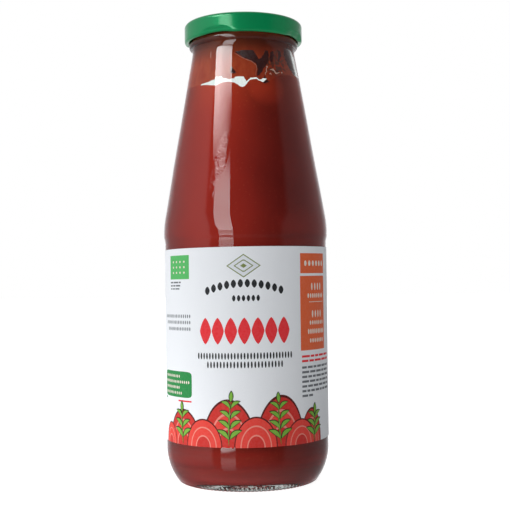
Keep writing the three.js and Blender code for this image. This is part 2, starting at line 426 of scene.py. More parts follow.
def outerProfile():
    # from the middle of the underside out, up the wall and over the rim
    panel, body, foot = glass["panelRadius"], bottleTop.x, glass["footWidth"]
    cornerReach = glass["heelArc"] - glass["heelCorner"]
    heelAngle = math.degrees(math.asin((glass["panelBottom"] - glass["heelCorner"]) / cornerReach))
    heelCentre = (panel - glass["heelArc"], glass["panelBottom"])
    corner = (heelCentre[0] + cornerReach * math.cos(math.radians(heelAngle)), glass["heelCorner"])
    punt = np.linspace(0, 1, 8)
    underside = np.stack([punt * (corner[0] - foot), glass["puntHeight"] * (1 - punt ** 2)], 1)
    step = linePoints((panel, glass["panelTop"]), (body, glass["panelTop"] + glass["panelStep"]), 6)
    step[:, 0] = panel + (body - panel) * smoothStep(step[:, 1], *step[[0, -1], 1])
    shoulderCentre = (body - glass["shoulderArc"], glass["shoulderHeight"])
    shoulder = arcPoints(shoulderCentre, glass["shoulderArc"], 0, glass["coneAngle"], 8)
    lean = math.tan(math.radians(glass["coneAngle"]))
    neck = glass["neckRadius"]
    coneTop = (neck + 0.1, shoulder[-1, 1] + (shoulder[-1, 0] - neck - 0.1) / lean)
    bead, ring = glass["beadRound"], glass["beadRadius"] - glass["beadRound"]
    rim, rimCentre = glass["rimRound"], glass["finishRadius"] - glass["rimRound"]
    return np.concatenate([
        underside[:-1],
        linePoints((corner[0] - foot, 0), (corner[0], 0), 2)[:-1],
        arcPoints(corner, glass["heelCorner"], -90, -heelAngle, 8)[:-1],
        arcPoints(heelCentre, glass["heelArc"], -heelAngle, 0, 14),
        linePoints((panel, glass["panelBottom"]), (panel, glass["panelTop"]), 6)[1:-1],
        step,
        shoulder,
        linePoints(shoulder[-1], coneTop, 34)[1:],
        linePoints((neck, coneTop[1] + 0.8), (neck, glass["beadBottom"] - 0.25), 1),
        [(neck + 0.1, glass["beadBottom"])],
        arcPoints((ring, glass["beadBottom"] + bead), bead, -80, 0, 5),
        arcPoints((ring, glass["beadTop"] - bead), bead, 0, 90, 5),
        linePoints((glass["finishRadius"], glass["beadTop"] + 0.2),
                   (glass["finishRadius"], bottleTop.z - rim), 3),
        arcPoints((rimCentre, bottleTop.z - rim), rim, 0, 90, 3)[1:],
    ])


def innerProfile():
    # from the rim down the bore and the wall to the middle of the floor
    rounding = glass["mouthRound"]
    heights = np.concatenate([np.linspace(bottleTop.z - rounding, 180, 16), np.linspace(177, 125, 10),
                              np.linspace(122, 23, 8)])
    heelCentre = (glass["panelRadius"] - glass["wall"] - glass["innerHeelArc"],
                  glass["floorThickness"] + glass["innerHeelArc"])
    heel = arcPoints(heelCentre, glass["innerHeelArc"], 0, -90, 10)
    dome = np.linspace(1, 0, 8)[1:]
    floorDome = np.stack([dome * heelCentre[0],
                          glass["floorThickness"] + glass["puntHeight"] * (1 - dome ** 2)], 1)
    mouth = arcPoints((glass["mouthRadius"] + rounding, bottleTop.z - rounding), rounding, 90, 180, 3)
    return np.concatenate([mouth[:-1], np.stack([innerRadius(heights), heights], 1), heel, floorDome])


turns = np.linspace(0, 2 * np.pi, glass["segments"], endpoint=False)[None, :]
outer, inner = outerProfile(), innerProfile()
radius, height = outer[:, :1], outer[:, 1:]
# the wave leaves the foot and the finish alone
free = smoothStep(height, 4, 14) * (1 - smoothStep(height, 200, 206))
outside = radius + glass["outerWave"] * free * ripple(turns, height, 3, (1, 6), (30, 110))
# ribs across the edge of the foot, rounded: depth (1 - |cos(n t / 2)|), strongest where it turns up
ribsFrom, ribsFull, cutFrom, cutFull = glass["knurlRadii"]
inFoot = height < glass["footHeight"]
footEdge = smoothStep(radius, ribsFrom, ribsFull) * inFoot
footEdge = footEdge * (1 - smoothStep(height, 0.4, glass["knurlTop"]))
rib = 1 - np.abs(np.cos(glass["knurls"] / 2 * turns + glass["knurlSlant"] * height * inFoot))
lifted = height + 0.35 * glass["knurlDepth"] * footEdge * rib
outside = outside - glass["knurlDepth"] * footEdge * rib * smoothStep(radius, cutFrom, cutFull)
outsidePoints = roundBottle(outside, turns, lifted)
radius, height = inner[:, :1], inner[:, 1:]
wave = innerWave(turns, height) * (radius > glass["floorRadius"])
insidePoints = roundBottle(radius + wave, turns, height)
bottlePoints = np.concatenate([outsidePoints, insidePoints])

flintGlass, tree = newMaterial("flint glass, pressed and blown")
# clear with a faint green cast in thick places; bright crisp reflections of the studio
spot = addNode(tree, "TexCoord").outputs["Object"]
crinkle = addNode(tree, "TexNoise", Vector=spot, Scale=cells(glass["wrinkleWidth"]), Detail=1.0,
                  Distortion=1.2)
# a band of cooling wrinkles runs aslant down the front of the shoulder
centre = addNode(tree, "VectorMath", {"operation": "SUBTRACT"}, i0=spot,
                 i1=[place * mm for place in glass["wrinkleCentre"]])
turned = addNode(tree, "VectorRotate", {"rotation_type": "Y_AXIS"}, Vector=centre,
                 Angle=math.radians(glass["wrinkleLean"]))
squeezed = addNode(tree, "VectorMath", times, i0=turned,
                   i1=[1 / (reach * mm) for reach in glass["wrinkleReach"]])
away = addNode(tree, "VectorMath", {"operation": "LENGTH"}, i0=squeezed)
patch = addNode(tree, "MapRange", smoothly, Value=away.outputs["Value"], i1=1.1, i2=0.4, i3=0.0, i4=1.0)
wrinkle = addNode(tree, "Math", times, i0=crinkle, i1=patch)
relief = addNode(tree, "Bump", Strength=0.6, Distance=0.0004, Height=wrinkle)
clear = addNode(tree, "BsdfPrincipled", Base_Color=srgb("#F4FAF7"), Roughness=0.0, IOR=1.52,
                Transmission_Weight=1.0, Normal=relief)
through = addNode(tree, "BsdfTransparent", Color=[0.93, 0.95, 0.94, 1])
lampRay = addNode(tree, "LightPath").outputs["Is Shadow Ray"]
mixed = addNode(tree, "MixShader", i0=lampRay, i1=clear, i2=through)
addNode(tree, "OutputMaterial", Surface=mixed)

makePiece("glassBottle", bottlePoints, gridFaces(len(bottlePoints), glass["segments"], wrapColumns=True),
          flintGlass, ["bottle"])
print("bottle blown")

# Passata: fills the glass and reaches just into its wall, so that no air gap shows
passata = {
    "segments": 360,
    "intoWall": 0.1,
    "edge": (  # turn and height of the top edge, where lumps cling to the glass
        (-150, 188.4), (-95, 187.6), (-54, 187.3), (-47.4, 187.0), (-41.6, 186.8), (-33.8, 186.1),
        (-29.0, 186.0), (-24.6, 186.6), (-20.3, 187.1), (-14.0, 187.1), (-9.8, 186.8), (-6.8, 185.8),
        (-3.8, 184.7), (-1.8, 184.4), (0.7, 184.8), (2.7, 185.8), (4.3, 186.9), (6.4, 187.9),
        (9.5, 188.2), (12.6, 188.2), (16.1, 187.3), (18.7, 187.0), (20.7, 186.2), (22.9, 186.4),
        (25.7, 187.3), (30.2, 188.7), (35.5, 190.2), (44.0, 191.3), (57.6, 192.0), (80, 191.0),
        (120, 189.6), (170, 188.8),
    ),
    # the tones paint light and shade into the colour: bands round the heel and a dark strip under the
    # label
    "tones": (  # height, then the share of its colour that the passata keeps in red, green and blue
        (4.9, (2.0, 1.5, 1.5)), (5.8, (1.2, 0.95, 0.95)), (7.6, (0.84, 0.77, 0.77)),
        (9.3, (0.84, 0.8, 0.8)), (10.5, (1.02, 0.92, 0.92)), (11.6, (1.5, 1.35, 1.25)),
        (12.9, (1.68, 1.5, 1.4)), (15.6, (1.15, 1.5, 1.5)), (17.4, (0.9, 0.9, 0.9)),
        (20, (0.55, 0.65, 0.65)), (22, (0.55, 0.65, 0.65)), (23, (1.0, 1.0, 1.0)),
        (150, (1.0, 1.0, 1.0)), (172, (1.1, 1.2, 1.05)), (188, (1.35, 2.0, 1.25)),
    ),
    "toneTop": 200,  # height where the tones' scale ends
    "heelRows": 18,  # points of the glass's inner profile in its floor and heel
    "floorRadius": 15,  # nearer to the middle it reaches down into the glass, and outwards past it
    "floorRows": 8,  # rows of the mesh that lie on the floor and the start of the heel
    "topLump": 1.1,
    "topMiddle": 186,  # height of the middle of the top, lower than its rim
    "cloudWidth": 11.11,  # of one cloud in its colour
    "speckWidth": 1.923,  # from one speck of pulp to the next
    "clotCentre": (11, -24.7, 185),
    "clotReach": 10,
}
turns = np.linspace(0, 2 * np.pi, passata["segments"], endpoint=False)[None, :]
edge = roundHeights(passata["edge"], turns) + 0.12 * ripple(turns, 0, 21, (9, 40))
below = inner[:-passata["heelRows"] - 1:-1]
onFloor = below[:, :1] <= passata["floorRadius"]
belowPoints = roundBottle(below[:, :1] + passata["intoWall"] * ~onFloor, turns,
                          below[:, 1:] - passata["intoWall"] * onFloor)
rise = np.linspace(0, 1, 56)[1:, None]
wallHeight = below[-1, 1] + (edge - below[-1, 1]) * rise
wallPoints = roundBottle(innerRadius(wallHeight) + innerWave(turns, wallHeight) + passata["intoWall"],
                         turns, wallHeight)
inward = np.linspace(1, 0, 26)[1:, None]
rimRadius = innerRadius(edge) + passata["intoWall"]
# from the rim down to the middle, with lumps that die away at both
hollow = smoothStep(inward, 0.0, 1.0)
lumps = inward * (1 - inward) * 3 * ripple(turns, inward * 26, 8, (1, 9), (9, 30))
topHeight = edge * hollow + passata["topMiddle"] * (1 - hollow) + passata["topLump"] * lumps
topPoints = roundBottle(rimRadius * inward, turns, topHeight)
passataPoints = np.concatenate([belowPoints, wallPoints, topPoints])

sievedTomato, tree = newMaterial("sieved tomato, cooked and wet")
# opaque brown red; faintly cloudy, with pale specks of pulp pressed against the glass. Light that
# glances through the wet pulp comes back red, so it gleams warmly on the lit side.
spot = addNode(tree, "TexCoord").outputs["Object"]
mash = mottled(tree, passata["cloudWidth"], 3.0, "#54110E", "#621715")
speck = addNode(tree, "TexVoronoi", Vector=spot, Scale=cells(passata["speckWidth"]))
isSpeck = addNode(tree, "MapRange", Value=speck.outputs["Distance"], i1=0.2, i2=0.06, i3=0.0, i4=0.35)
pulp = addNode(tree, "Mix", asColours, i0=isSpeck, i6=mash, i7=srgb("#A04A34"))
# lighter towards the top; painted shade in the strip under the label's lower edge, and bands of painted
# light and shade round the heel
high = addNode(tree, "SeparateXYZ", Vector=spot)
share = addNode(tree, "MapRange", Value=high.outputs["Z"], i1=0.0, i2=passata["toneTop"] * mm)
tone = addNode(tree, "ValToRGB", Fac=share)
setStops(tone, [(height / passata["toneTop"], colour) for height, colour in passata["tones"]])
# brighter still where a clot hangs at the top on the right: the colour times 1 + 1.8 of its share
clotShare = ballShare(tree, spot, passata["clotCentre"], [passata["clotReach"]] * 3)
clotTone = addNode(tree, "Math", {"operation": "MULTIPLY_ADD"}, i0=clotShare, i1=1.8, i2=1.0)
toneHere = addNode(tree, "Mix", tinting, i0=1.0, i6=tone, i7=clotTone)
toned = addNode(tree, "Mix", tinting, i0=1.0, i6=pulp.outputs[2], i7=toneHere.outputs[2])
gleam = addNode(tree, "Mix", tinting, i0=1.0, i6=srgb("#FF4836"), i7=toneHere.outputs[2])
wet = addNode(tree, "BsdfPrincipled", Base_Color=toned.outputs[2], Roughness=0.35, IOR=2.1,
              Specular_IOR_Level=1.0, Specular_Tint=gleam.outputs[2])
addNode(tree, "OutputMaterial", Surface=wet)

underGlass, tree = newMaterial("sieved tomato under the thick glass floor")
# seen along the floor the glass turns the view back like a mirror, so the foot looks grey, not red
face = addNode(tree, "LayerWeight", Blend=0.5)
grazing = addNode(tree, "MapRange", smoothly, Value=face.outputs["Facing"], i1=0.63, i2=0.73)
mirror = addNode(tree, "BsdfPrincipled", Base_Color=srgb("#AEBBB7"), Metallic=1.0, Roughness=0.08)
pulpy = addNode(tree, "BsdfPrincipled", Base_Color=srgb("#7A1D14"), Roughness=0.4, IOR=1.36)
both = addNode(tree, "MixShader", i0=grazing, i1=pulpy, i2=mirror)
addNode(tree, "OutputMaterial", Surface=both)

passataFaces = gridFaces(len(passataPoints), passata["segments"], wrapColumns=True)
underside = passataFaces[:, 0] // passata["segments"] < passata["floorRows"]
makePiece("passata", passataPoints, passataFaces, sievedTomato, ["passata"],
          second=(underGlass, underside))
print("passata poured")

# Film: passata that clings to the wall of the headspace, thin and torn, with clear windows in it
film = {
    "columns": ((-180, 1.0), (-62, 0.5), (72, 1.0)),  # from this turn on, degrees between columns
    "rowHeight": 0.27,
    "foot": 183.0,
    "head": 213.6,
    "intoWall": 0.06,
    "thickness": 0.7,
    "lowerEdge": (  # turn and height where the film ends above the passata
        (-176, 198.2), (-150, 198.8), (-128, 197.6), (-108, 195.5), (-90, 190.0), (-80, 186.0),
        (-56, 185.2), (-50, 187.0), (-47, 187.7), (-41.8, 187.9), (-38.0, 188.0), (-33.1, 188.7),
        (-30.6, 189.0), (-30.0, 190.1), (-26.4, 189.9), (-23.0, 190.2), (-22.2, 189.2), (-18.5, 188.9),
        (-14.1, 188.3), (-9.9, 188.5), (-8.6, 189.4), (-0.1, 189.5), (1.1, 188.4), (2.3, 187.1),
        (3.5, 187.2), (5.4, 188.0), (7.4, 188.7), (12.7, 189.1), (16.2, 188.2), (18.4, 188.2),
        (20.5, 189.1), (22.3, 190.1), (23.3, 188.7), (25.8, 187.5), (30, 187.0), (60, 187.0),
        (84, 190.0), (104, 196.0), (126, 198.8), (150, 198.0), (168, 198.8),
    ),
    "windows": (  # outlines of the clear places, turn and height
        ((-9.4, 201.3), (-4.9, 201.9), (4.1, 202.4), (11.4, 202.1), (14.0, 200.3), (16.7, 198.2),
         (19.5, 198.7), (22.8, 200.6), (25.6, 202.4), (28.8, 202.3), (29.0, 200.3), (27.8, 197.3),
         (24.6, 195.0), (21.5, 193.7), (18.9, 191.7), (16.0, 190.2), (13.6, 189.7), (14.7, 193.8),
         (13.4, 195.6), (7.0, 197.3), (0.6, 198.3), (-4.9, 199.8)),
        ((31.6, 202.1), (35.4, 202.3), (36.3, 200.2), (33.9, 197.6), (30.8, 196.5), (29.9, 197.9),
         (31.4, 200.4)),
        ((-14.0, 194.7), (-11.4, 193.6), (-9.0, 192.4), (-7.9, 191.3), (-10.6, 190.9), (-13.8, 191.6)),
        ((41.4, 203.1), (46.1, 203.1), (46.6, 200.7), (42.4, 198.0), (40.5, 198.4), (42.7, 201.0)),
        ((53.0, 199.3), (51.0, 202.0), (54.0, 205.0), (62.0, 206.2), (70.0, 204.4), (80.0, 200.5),
         (86.0, 195.6), (83.0, 193.0), (76.0, 192.2), (66.0, 192.8), (57.5, 195.6)),
    ),
    # the first line is a painted highlight along the film's rim; the others are pale juice
    "drops": (  # lines of pale juice: width, then turns and heights; the first is the film's own rim
        (0.55, (-10.5, 201.0), (-7.7, 200.3), (-3.8, 199.1), (0.6, 198.1), (4.9, 197.3), (8.1, 196.9),
         (11.3, 195.9), (13.8, 194.7), (14.0, 193.6), (12.9, 191.6), (11.9, 189.7)),
        (0.8, (28.7, 193.2), (31.5, 193.4), (33.9, 193.3), (35.2, 192.4), (36.2, 191.6), (38.7, 192.0),
         (41.6, 192.5)),
        (1.3, (31.6, 193.4), (34.4, 193.3)),
        (1.2, (35.6, 191.9), (37.2, 191.7)),
        (1.1, (25.2, 194.9), (26.4, 194.1)),
        (0.9, (43.4, 192.5), (45.6, 192.5)),
        (0.5, (25.9, 194.4), (24.6, 193.2), (24.9, 192.2), (22.9, 191.3), (23.4, 190.4)),
        (0.5, (27.6, 190.9), (29.4, 191.6), (30.2, 190.6)),
        (0.3, (-39.4, 202.8), (-38.6, 199.4)),
    ),
    "dropIntoWall": 0.14,
    "dropThickness": 0.3,
    "neckArc": 23.6,  # millimetres across for each radian at the neck
    "blotchWidth": 3.846,  # of one blotch in the smear, as the clots, streaks and mottles below
    "shade": (195.5, 207.5),  # it is lit below the first height, and in the cap's shade above the second
    "clotWidth": 1.613,
    "clotCentre": (14.815, -19.444, 196.8),
    "clotReach": (9.2593, 9.2593, 8),
    "streakWidth": 3.125,
    "mottleWidth": 1.4286,
}


def insideDepth(across, up, corners):
    # distance to the nearest side of an outline, positive inside it; a point is inside when a level
    # line from it crosses the outline an odd number of times
    across, up = np.broadcast_arrays(across, up)
    nearest = np.full(across.shape, np.inf)
    inside = np.zeros(across.shape, bool)
    for start, end in zip(corners, np.roll(corners, -1, axis=0)):
        side = end - start
        along = np.clip(((across - start[0]) * side[0] + (up - start[1]) * side[1]) / (side @ side), 0, 1)
        nearest = np.minimum(nearest, np.hypot(across - start[0] - along * side[0],
                                               up - start[1] - along * side[1]))
        spans = (start[1] > up) != (end[1] > up)
        crossing = start[0] + (up - start[1]) / (side[1] if side[1] else 1e-9) * side[0]
        inside ^= spans & (across < crossing)
    return np.where(inside, nearest, -nearest)


starts = [start for start, step in film["columns"]] + [180]
columnTurns = np.concatenate([np.arange(start, end, step)
                              for (start, step), end in zip(film["columns"], starts[1:])])
turns = np.radians(columnTurns)[None, :]
columns = len(columnTurns)
heights = np.arange(film["foot"], film["head"] + 0.01, film["rowHeight"])[:, None]
arc = film["neckArc"]
depth = heights - roundHeights(film["lowerEdge"], turns)
for corners in film["windows"]:
    outline = np.array(corners) * [math.radians(1) * arc, 1]
    depth = np.minimum(depth, -insideDepth(turns * arc, heights, outline))
depth = depth + 0.2 * ripple(turns, heights, 31, (8, 60), (1.5, 8), 20) * smoothStep(depth, -3, 3)
depth = np.minimum(depth, film["head"] - 0.4 - heights)
# a corner outside the film moves to its edge, down the slope of the depth: p - f grad f / |grad f|^2
slopeUp, slopeAcross = np.gradient(depth, heights[:, 0], turns[0] * arc)
steep = np.maximum(slopeUp ** 2 + slopeAcross ** 2, 0.2)
outside = depth < 0
shift = np.where(outside, np.clip(-depth, 0, 0.6) / steep, 0)
edgeTurns = turns + np.clip(shift * slopeAcross, -0.4, 0.4) / arc
edgeHeights = heights + np.clip(shift * slopeUp, -0.4, 0.4)
swell = 1 + 0.35 * ripple(turns, heights, 12, (6, 40), (3, 14), 16)
thick = film["thickness"] * np.clip(swell, 0.4, 1.8) * np.sqrt(smoothStep(depth, 0, 1.1))
thick[outside] = 0
wall = innerRadius(edgeHeights) + innerWave(edgeTurns, edgeHeights) + film["intoWall"]
faces = gridFaces(len(heights), columns, wrapColumns=True)
kept = faces[(~outside.ravel()[faces]).any(axis=1)]
front = roundBottle(wall, edgeTurns, edgeHeights).reshape(-1, 3)
back = roundBottle(wall - thick, edgeTurns, edgeHeights).reshape(-1, 3)
filmFaces = np.concatenate([kept, kept[:, ::-1] + len(front)])
used, filmFaces = np.unique(filmFaces, return_inverse=True)
filmPoints = np.concatenate([front, back])[used]

driedPassata, tree = newMaterial("thin smear of sieved tomato")
# thinner, so more orange than the bulk; blotched where it has run down the glass
spot = addNode(tree, "TexCoord").outputs["Object"]
stretched = addNode(tree, "Mapping", Vector=spot, Scale=(1, 1, 0.45))
blotch = addNode(tree, "TexNoise", Vector=stretched, Detail=4.0, Scale=cells(film["blotchWidth"]))
smear = addNode(tree, "MapRange", Value=blotch, i1=0.35, i2=0.68)
orange = addNode(tree, "Mix", asColours, i0=smear, i6=srgb("#AC301E"), i7=srgb("#C24E30"))
high = addNode(tree, "SeparateXYZ", Vector=spot)
shaded = addNode(tree, "MapRange", smoothly, Value=high.outputs["Z"], i1=film["shade"][0] * mm,
                 i2=film["shade"][1] * mm)
darkened = addNode(tree, "Mix", asColours, i0=shaded, i6=orange.outputs[2], i7=srgb("#500D0C"))
# on the right the smear is clotted and brown, and its grey cast is a painted reflection: noise, strongest
# in the middle of a ball round that place
clotShare = ballShare(tree, spot, film["clotCentre"], film["clotReach"])
clots = addNode(tree, "TexNoise", Vector=spot, Scale=cells(film["clotWidth"]), Detail=3.0)
clotted = addNode(tree, "MapRange", Value=clots, i1=0.42, i2=0.56, i3=0.0, i4=2.2)
clotMask = addNode(tree, "Math", {"operation": "MULTIPLY", "use_clamp": True}, i0=clotted, i1=clotShare)
clottedAndGreyReflection = addNode(tree, "Mix", asColours, i0=clotMask, i6=darkened.outputs[2], i7=srgb("#5E3A34"))
moist = addNode(tree, "BsdfPrincipled", Base_Color=clottedAndGreyReflection.outputs[2], Roughness=0.5, IOR=1.7,
                Specular_IOR_Level=1.0, Specular_Tint=srgb("#FF8A50"))
addNode(tree, "OutputMaterial", Surface=moist)

innerSide, tree = newMaterial("inner side of the smear")
# in the shade of the closed neck, and coloured dark for it: nearly black, with a painted glow, a faint
# red emission, for the little red light that comes through the smear
dull = addNode(tree, "BsdfPrincipled", Roughness=0.6, Specular_IOR_Level=0.1,
               Base_Color=mottled(tree, film["streakWidth"], 3.0, "#3A1818", "#703A30"),
               Emission_Color=srgb("#4A1412"), Emission_Strength=0.3)
addNode(tree, "OutputMaterial", Surface=dull)

onInside = np.arange(len(filmFaces.reshape(-1, 4))) >= len(kept)
makePiece("headspaceFilm", filmPoints, filmFaces.reshape(-1, 4), driedPassata,
          second=(innerSide, onInside))


def juiceLine(width, places):
    # a drop drawn out along a path on the wall: an oval section that tapers to nothing at both ends
    path = np.array(places) * [math.radians(1) * arc, 1]
    length = np.concatenate([[0], np.cumsum(np.linalg.norm(np.diff(path, axis=0), axis=1))])
    share = np.linspace(0, 1, max(9, int(length[-1] * 4)))
    middle = np.stack([np.interp(share * length[-1], length, path[:, k]) for k in (0, 1)], 1)
    along = np.gradient(middle, axis=0)
    along /= np.linalg.norm(along, axis=1, keepdims=True)
    ring = np.linspace(0, 2 * np.pi, 8, endpoint=False)[None, :]
    half = width / 2 * np.sqrt(np.sin(np.pi * share))[:, None]
    turn = (middle[:, :1] - along[:, 1:] * half * np.cos(ring)) / arc
    height = middle[:, 1:] + along[:, :1] * half * np.cos(ring)
    wall = innerRadius(height) + innerWave(turn, height) + film["dropIntoWall"]
    lift = film["dropThickness"] / 2 * (1 + np.sin(ring))
    return (roundBottle(wall - lift, turn, height).reshape(-1, 3),
            gridFaces(len(share), 8, wrapColumns=True))


def joinStrips(strips):
    # many grids as one; the numbers of each one's points start where the last one's end
    starts = np.cumsum([0] + [len(points) for points, faces in strips[:-1]])
    faces = np.concatenate([faces + start for (points, faces), start in zip(strips, starts)])
    return np.concatenate([points for points, faces in strips]), faces


lines = [juiceLine(width, places) for width, *places in film["drops"]]
linePlaces, lineFaces = joinStrips(lines)

rimHighlight, tree = newMaterial("rim of the smear, with a painted highlight")
# painted highlight: paler than the smear, where its rounded edge catches the light
soft = addNode(tree, "BsdfPrincipled", Roughness=0.4, IOR=1.36,
               Base_Color=mottled(tree, film["mottleWidth"], 2.0, "#B8604A", "#D48C74"))
addNode(tree, "OutputMaterial", Surface=soft)

clearJuice, tree = newMaterial("drops of clear juice on the glass")
# pale, wet and bright
soft = addNode(tree, "BsdfPrincipled", Roughness=0.2, IOR=1.36,
               Base_Color=mottled(tree, film["mottleWidth"], 2.0, "#F0B49C", "#FFE2D2"))
addNode(tree, "OutputMaterial", Surface=soft)

# the film's rim takes the painted highlight, the other lines the clear juice
makePiece("juiceDrops", linePlaces, lineFaces, rimHighlight,
          second=(clearJuice, np.arange(len(lineFaces)) >= len(lines[0][1])))
print("film left on the glass")

# Cap: a thin drawn sheet with a sunk middle, a rolled lower edge and four lugs
lid = {
    "segments": 360,
    "bottom": 210.3,
    "sheet": 0.3,
    "corner": 1.8,
    "curl": 1.2,
    "wellRadius": 20.6,
    "wellDepth": 1.4,
    "wellRamp": 2,
    "buttonRadius": 8.5,
    "buttonRamp": 1.3,
    "buttonDepth": 0.5,
    "lugs": 4,
    "firstLug": -27,
    "lugHalfFlat": 5,
    "lugHalfWidth": 20,
    "lugInward": 0.9,
    "lugUpward": 0.7,
    "lugReach": (0.6, 1.3),  # height over the curl where the press ends, and how much more at a lug
    "pressRadius": 22,  # the middle of the cap isn't pressed
    "insideRows": 70,  # rows of the mesh that lie inside the cap
    "peelWidth": 0.9091,  # of one dimple of the orange peel
    "toneWidth": 14.286,  # of one patch of slightly other green
    "insideShadeWidth": 6.6667,
}


def lidProfile():
    # the underside from the middle out, down inside the skirt, round the curl and back over the top
    radius, top, sheet, curl = capHigh.x, capHigh.z, lid["sheet"], lid["curl"]
    across = np.linspace(0, radius - lid["corner"], 60)
    drop = (lid["wellDepth"] * smoothStep(across, lid["wellRadius"] + lid["wellRamp"], lid["wellRadius"])
            + lid["buttonDepth"] * smoothStep(across, lid["buttonRadius"] + lid["buttonRamp"],
                                              lid["buttonRadius"]))
    face = np.stack([across, top - drop], 1)
    corner = (radius - lid["corner"], top - lid["corner"])
    middle = (radius - curl, lid["bottom"] + curl)
    return middle, np.concatenate([
        face[:-1] - [0, sheet],
        arcPoints(corner, lid["corner"] - sheet, 90, 0, 5),
        linePoints((radius - sheet, top - 2 * lid["corner"]),
                   (radius - sheet, lid["bottom"] + 2.6 * curl), 3),
        arcPoints(middle, curl, 100, 360, 20),
        linePoints((radius, middle[1]), (radius, top - lid["corner"]), 14)[1:-1],
        arcPoints(corner, lid["corner"], 0, 90, 8),
        face[:-1][::-1],
    ])


curlMiddle, profile = lidProfile()
turns = np.linspace(0, 2 * np.pi, lid["segments"], endpoint=False)[None, :]
radius, height = profile[:, :1], profile[:, 1:]
spacing = 2 * np.pi / lid["lugs"]
fromLug = turns - math.radians(lid["firstLug"])
fromLug = np.abs(fromLug - spacing * np.round(fromLug / spacing))
lugShare = 1 - smoothStep(fromLug, math.radians(lid["lugHalfFlat"]), math.radians(lid["lugHalfWidth"]))
reachUp = lid["lugReach"][0] + lid["lugReach"][1] * lugShare
pressed = lugShare * np.clip(1 - (height - curlMiddle[1]) / reachUp, 0, 1) * (radius > lid["pressRadius"])
capPoints = roundBottle(radius - lid["lugInward"] * pressed, turns, height + lid["lugUpward"] * pressed)

greenLacquer, tree = newMaterial("green lacquer on drawn tinplate")
# stoved enamel: clear even green, a soft gloss and a fine orange peel
spot = addNode(tree, "TexCoord").outputs["Object"]
peel = addNode(tree, "TexNoise", Vector=spot, Scale=cells(lid["peelWidth"]), Detail=1.0)
skin = addNode(tree, "Bump", Strength=0.12, Distance=0.0001, Height=peel)
enamel = addNode(tree, "BsdfPrincipled", Roughness=0.3, IOR=1.5, Specular_IOR_Level=0.9,
                 Base_Color=mottled(tree, lid["toneWidth"], 2.0, "#008850", "#009256"),
                 Specular_Tint=srgb("#5CF0A4"), Coat_Weight=0.6, Coat_Roughness=0.15, Normal=skin)
addNode(tree, "OutputMaterial", Surface=enamel)

capInsideShade, tree = newMaterial("inside of the cap, painted dark as shade")
# painted shade: dull and dark, so that the gap over the glass reads as a shadow
dull = addNode(tree, "BsdfPrincipled", Roughness=0.6,
               Base_Color=mottled(tree, lid["insideShadeWidth"], 2.0, "#1C1D1B", "#2C2D2A"))
addNode(tree, "OutputMaterial", Surface=dull)

capFaces = gridFaces(len(profile), lid["segments"], wrapColumns=True)
hidden = capFaces[:, 0] // lid["segments"] < lid["insideRows"]
makePiece("twistCap", capPoints, capFaces, greenLacquer, ["cap"], 60,
          (capInsideShade, hidden))
print("cap screwed on")

# Label: one strip of coated paper wound round the panel, its free end over its start
paper = {
    "bottom": 20.9,
    "top": 110.6,
    "thickness": 0.1,
    "skew": 0.0059,
    "seam": 168.75,
    "overlap": 11.25,
    "liftFrom": 350,  # where the free end starts to climb over the start, in degrees from the start
    "lift": 0.16,
    "step": 1.0,
    "fibreWidth": 0.4,  # a few times that of real fibre, to show in the render
}
turnsCount = int((360 + paper["overlap"]) / paper["step"])
wound = np.linspace(0, 360 + paper["overlap"], turnsCount + 1)
turns = np.radians(paper["seam"] - 360 - paper["overlap"] + wound)[None, :]
onTop = smoothStep(wound, paper["liftFrom"], 360)[None, :]
outerFace = labelHigh.x + paper["lift"] * onTop
section = np.array([[1, paper["bottom"]], [0, paper["bottom"] + 0.03], [0, paper["top"] - 0.03],
                    [1, paper["top"]]])
depth = section[:, :1] * paper["thickness"]
rise = paper["skew"] * glass["panelRadius"] * turns
labelPoints = roundBottle(outerFace - depth, turns, section[:, 1:] + rise)
count = labelPoints.shape[1]
faces = gridFaces(4, count, wrapRows=True)
ends = np.arange(4) * count
faces = np.concatenate([faces, [ends, ends[::-1] + count - 1]])

coatedPaper, tree = newMaterial("coated white label paper")
# slightly blue white, matt with a low sheen, and a fibre too fine to see that breaks up the light
spot = addNode(tree, "TexCoord").outputs["Object"]
fibre = addNode(tree, "TexNoise", Vector=spot, Scale=cells(paper["fibreWidth"]), Detail=3.0)
tooth = addNode(tree, "Bump", Strength=0.15, Distance=0.00005, Height=fibre)
cast = addNode(tree, "Mix", asColours, i0=fibre, i6=srgb("#ECF0F4"), i7=srgb("#F3F6F9"))
sheet = addNode(tree, "BsdfPrincipled", Base_Color=cast.outputs[2], Roughness=0.55, IOR=1.48,
                Specular_IOR_Level=0.2, Normal=tooth)
addNode(tree, "OutputMaterial", Surface=sheet)
makePiece("paperLabel", labelPoints, faces, coatedPaper, ["label"], 30)
print("label wound on")

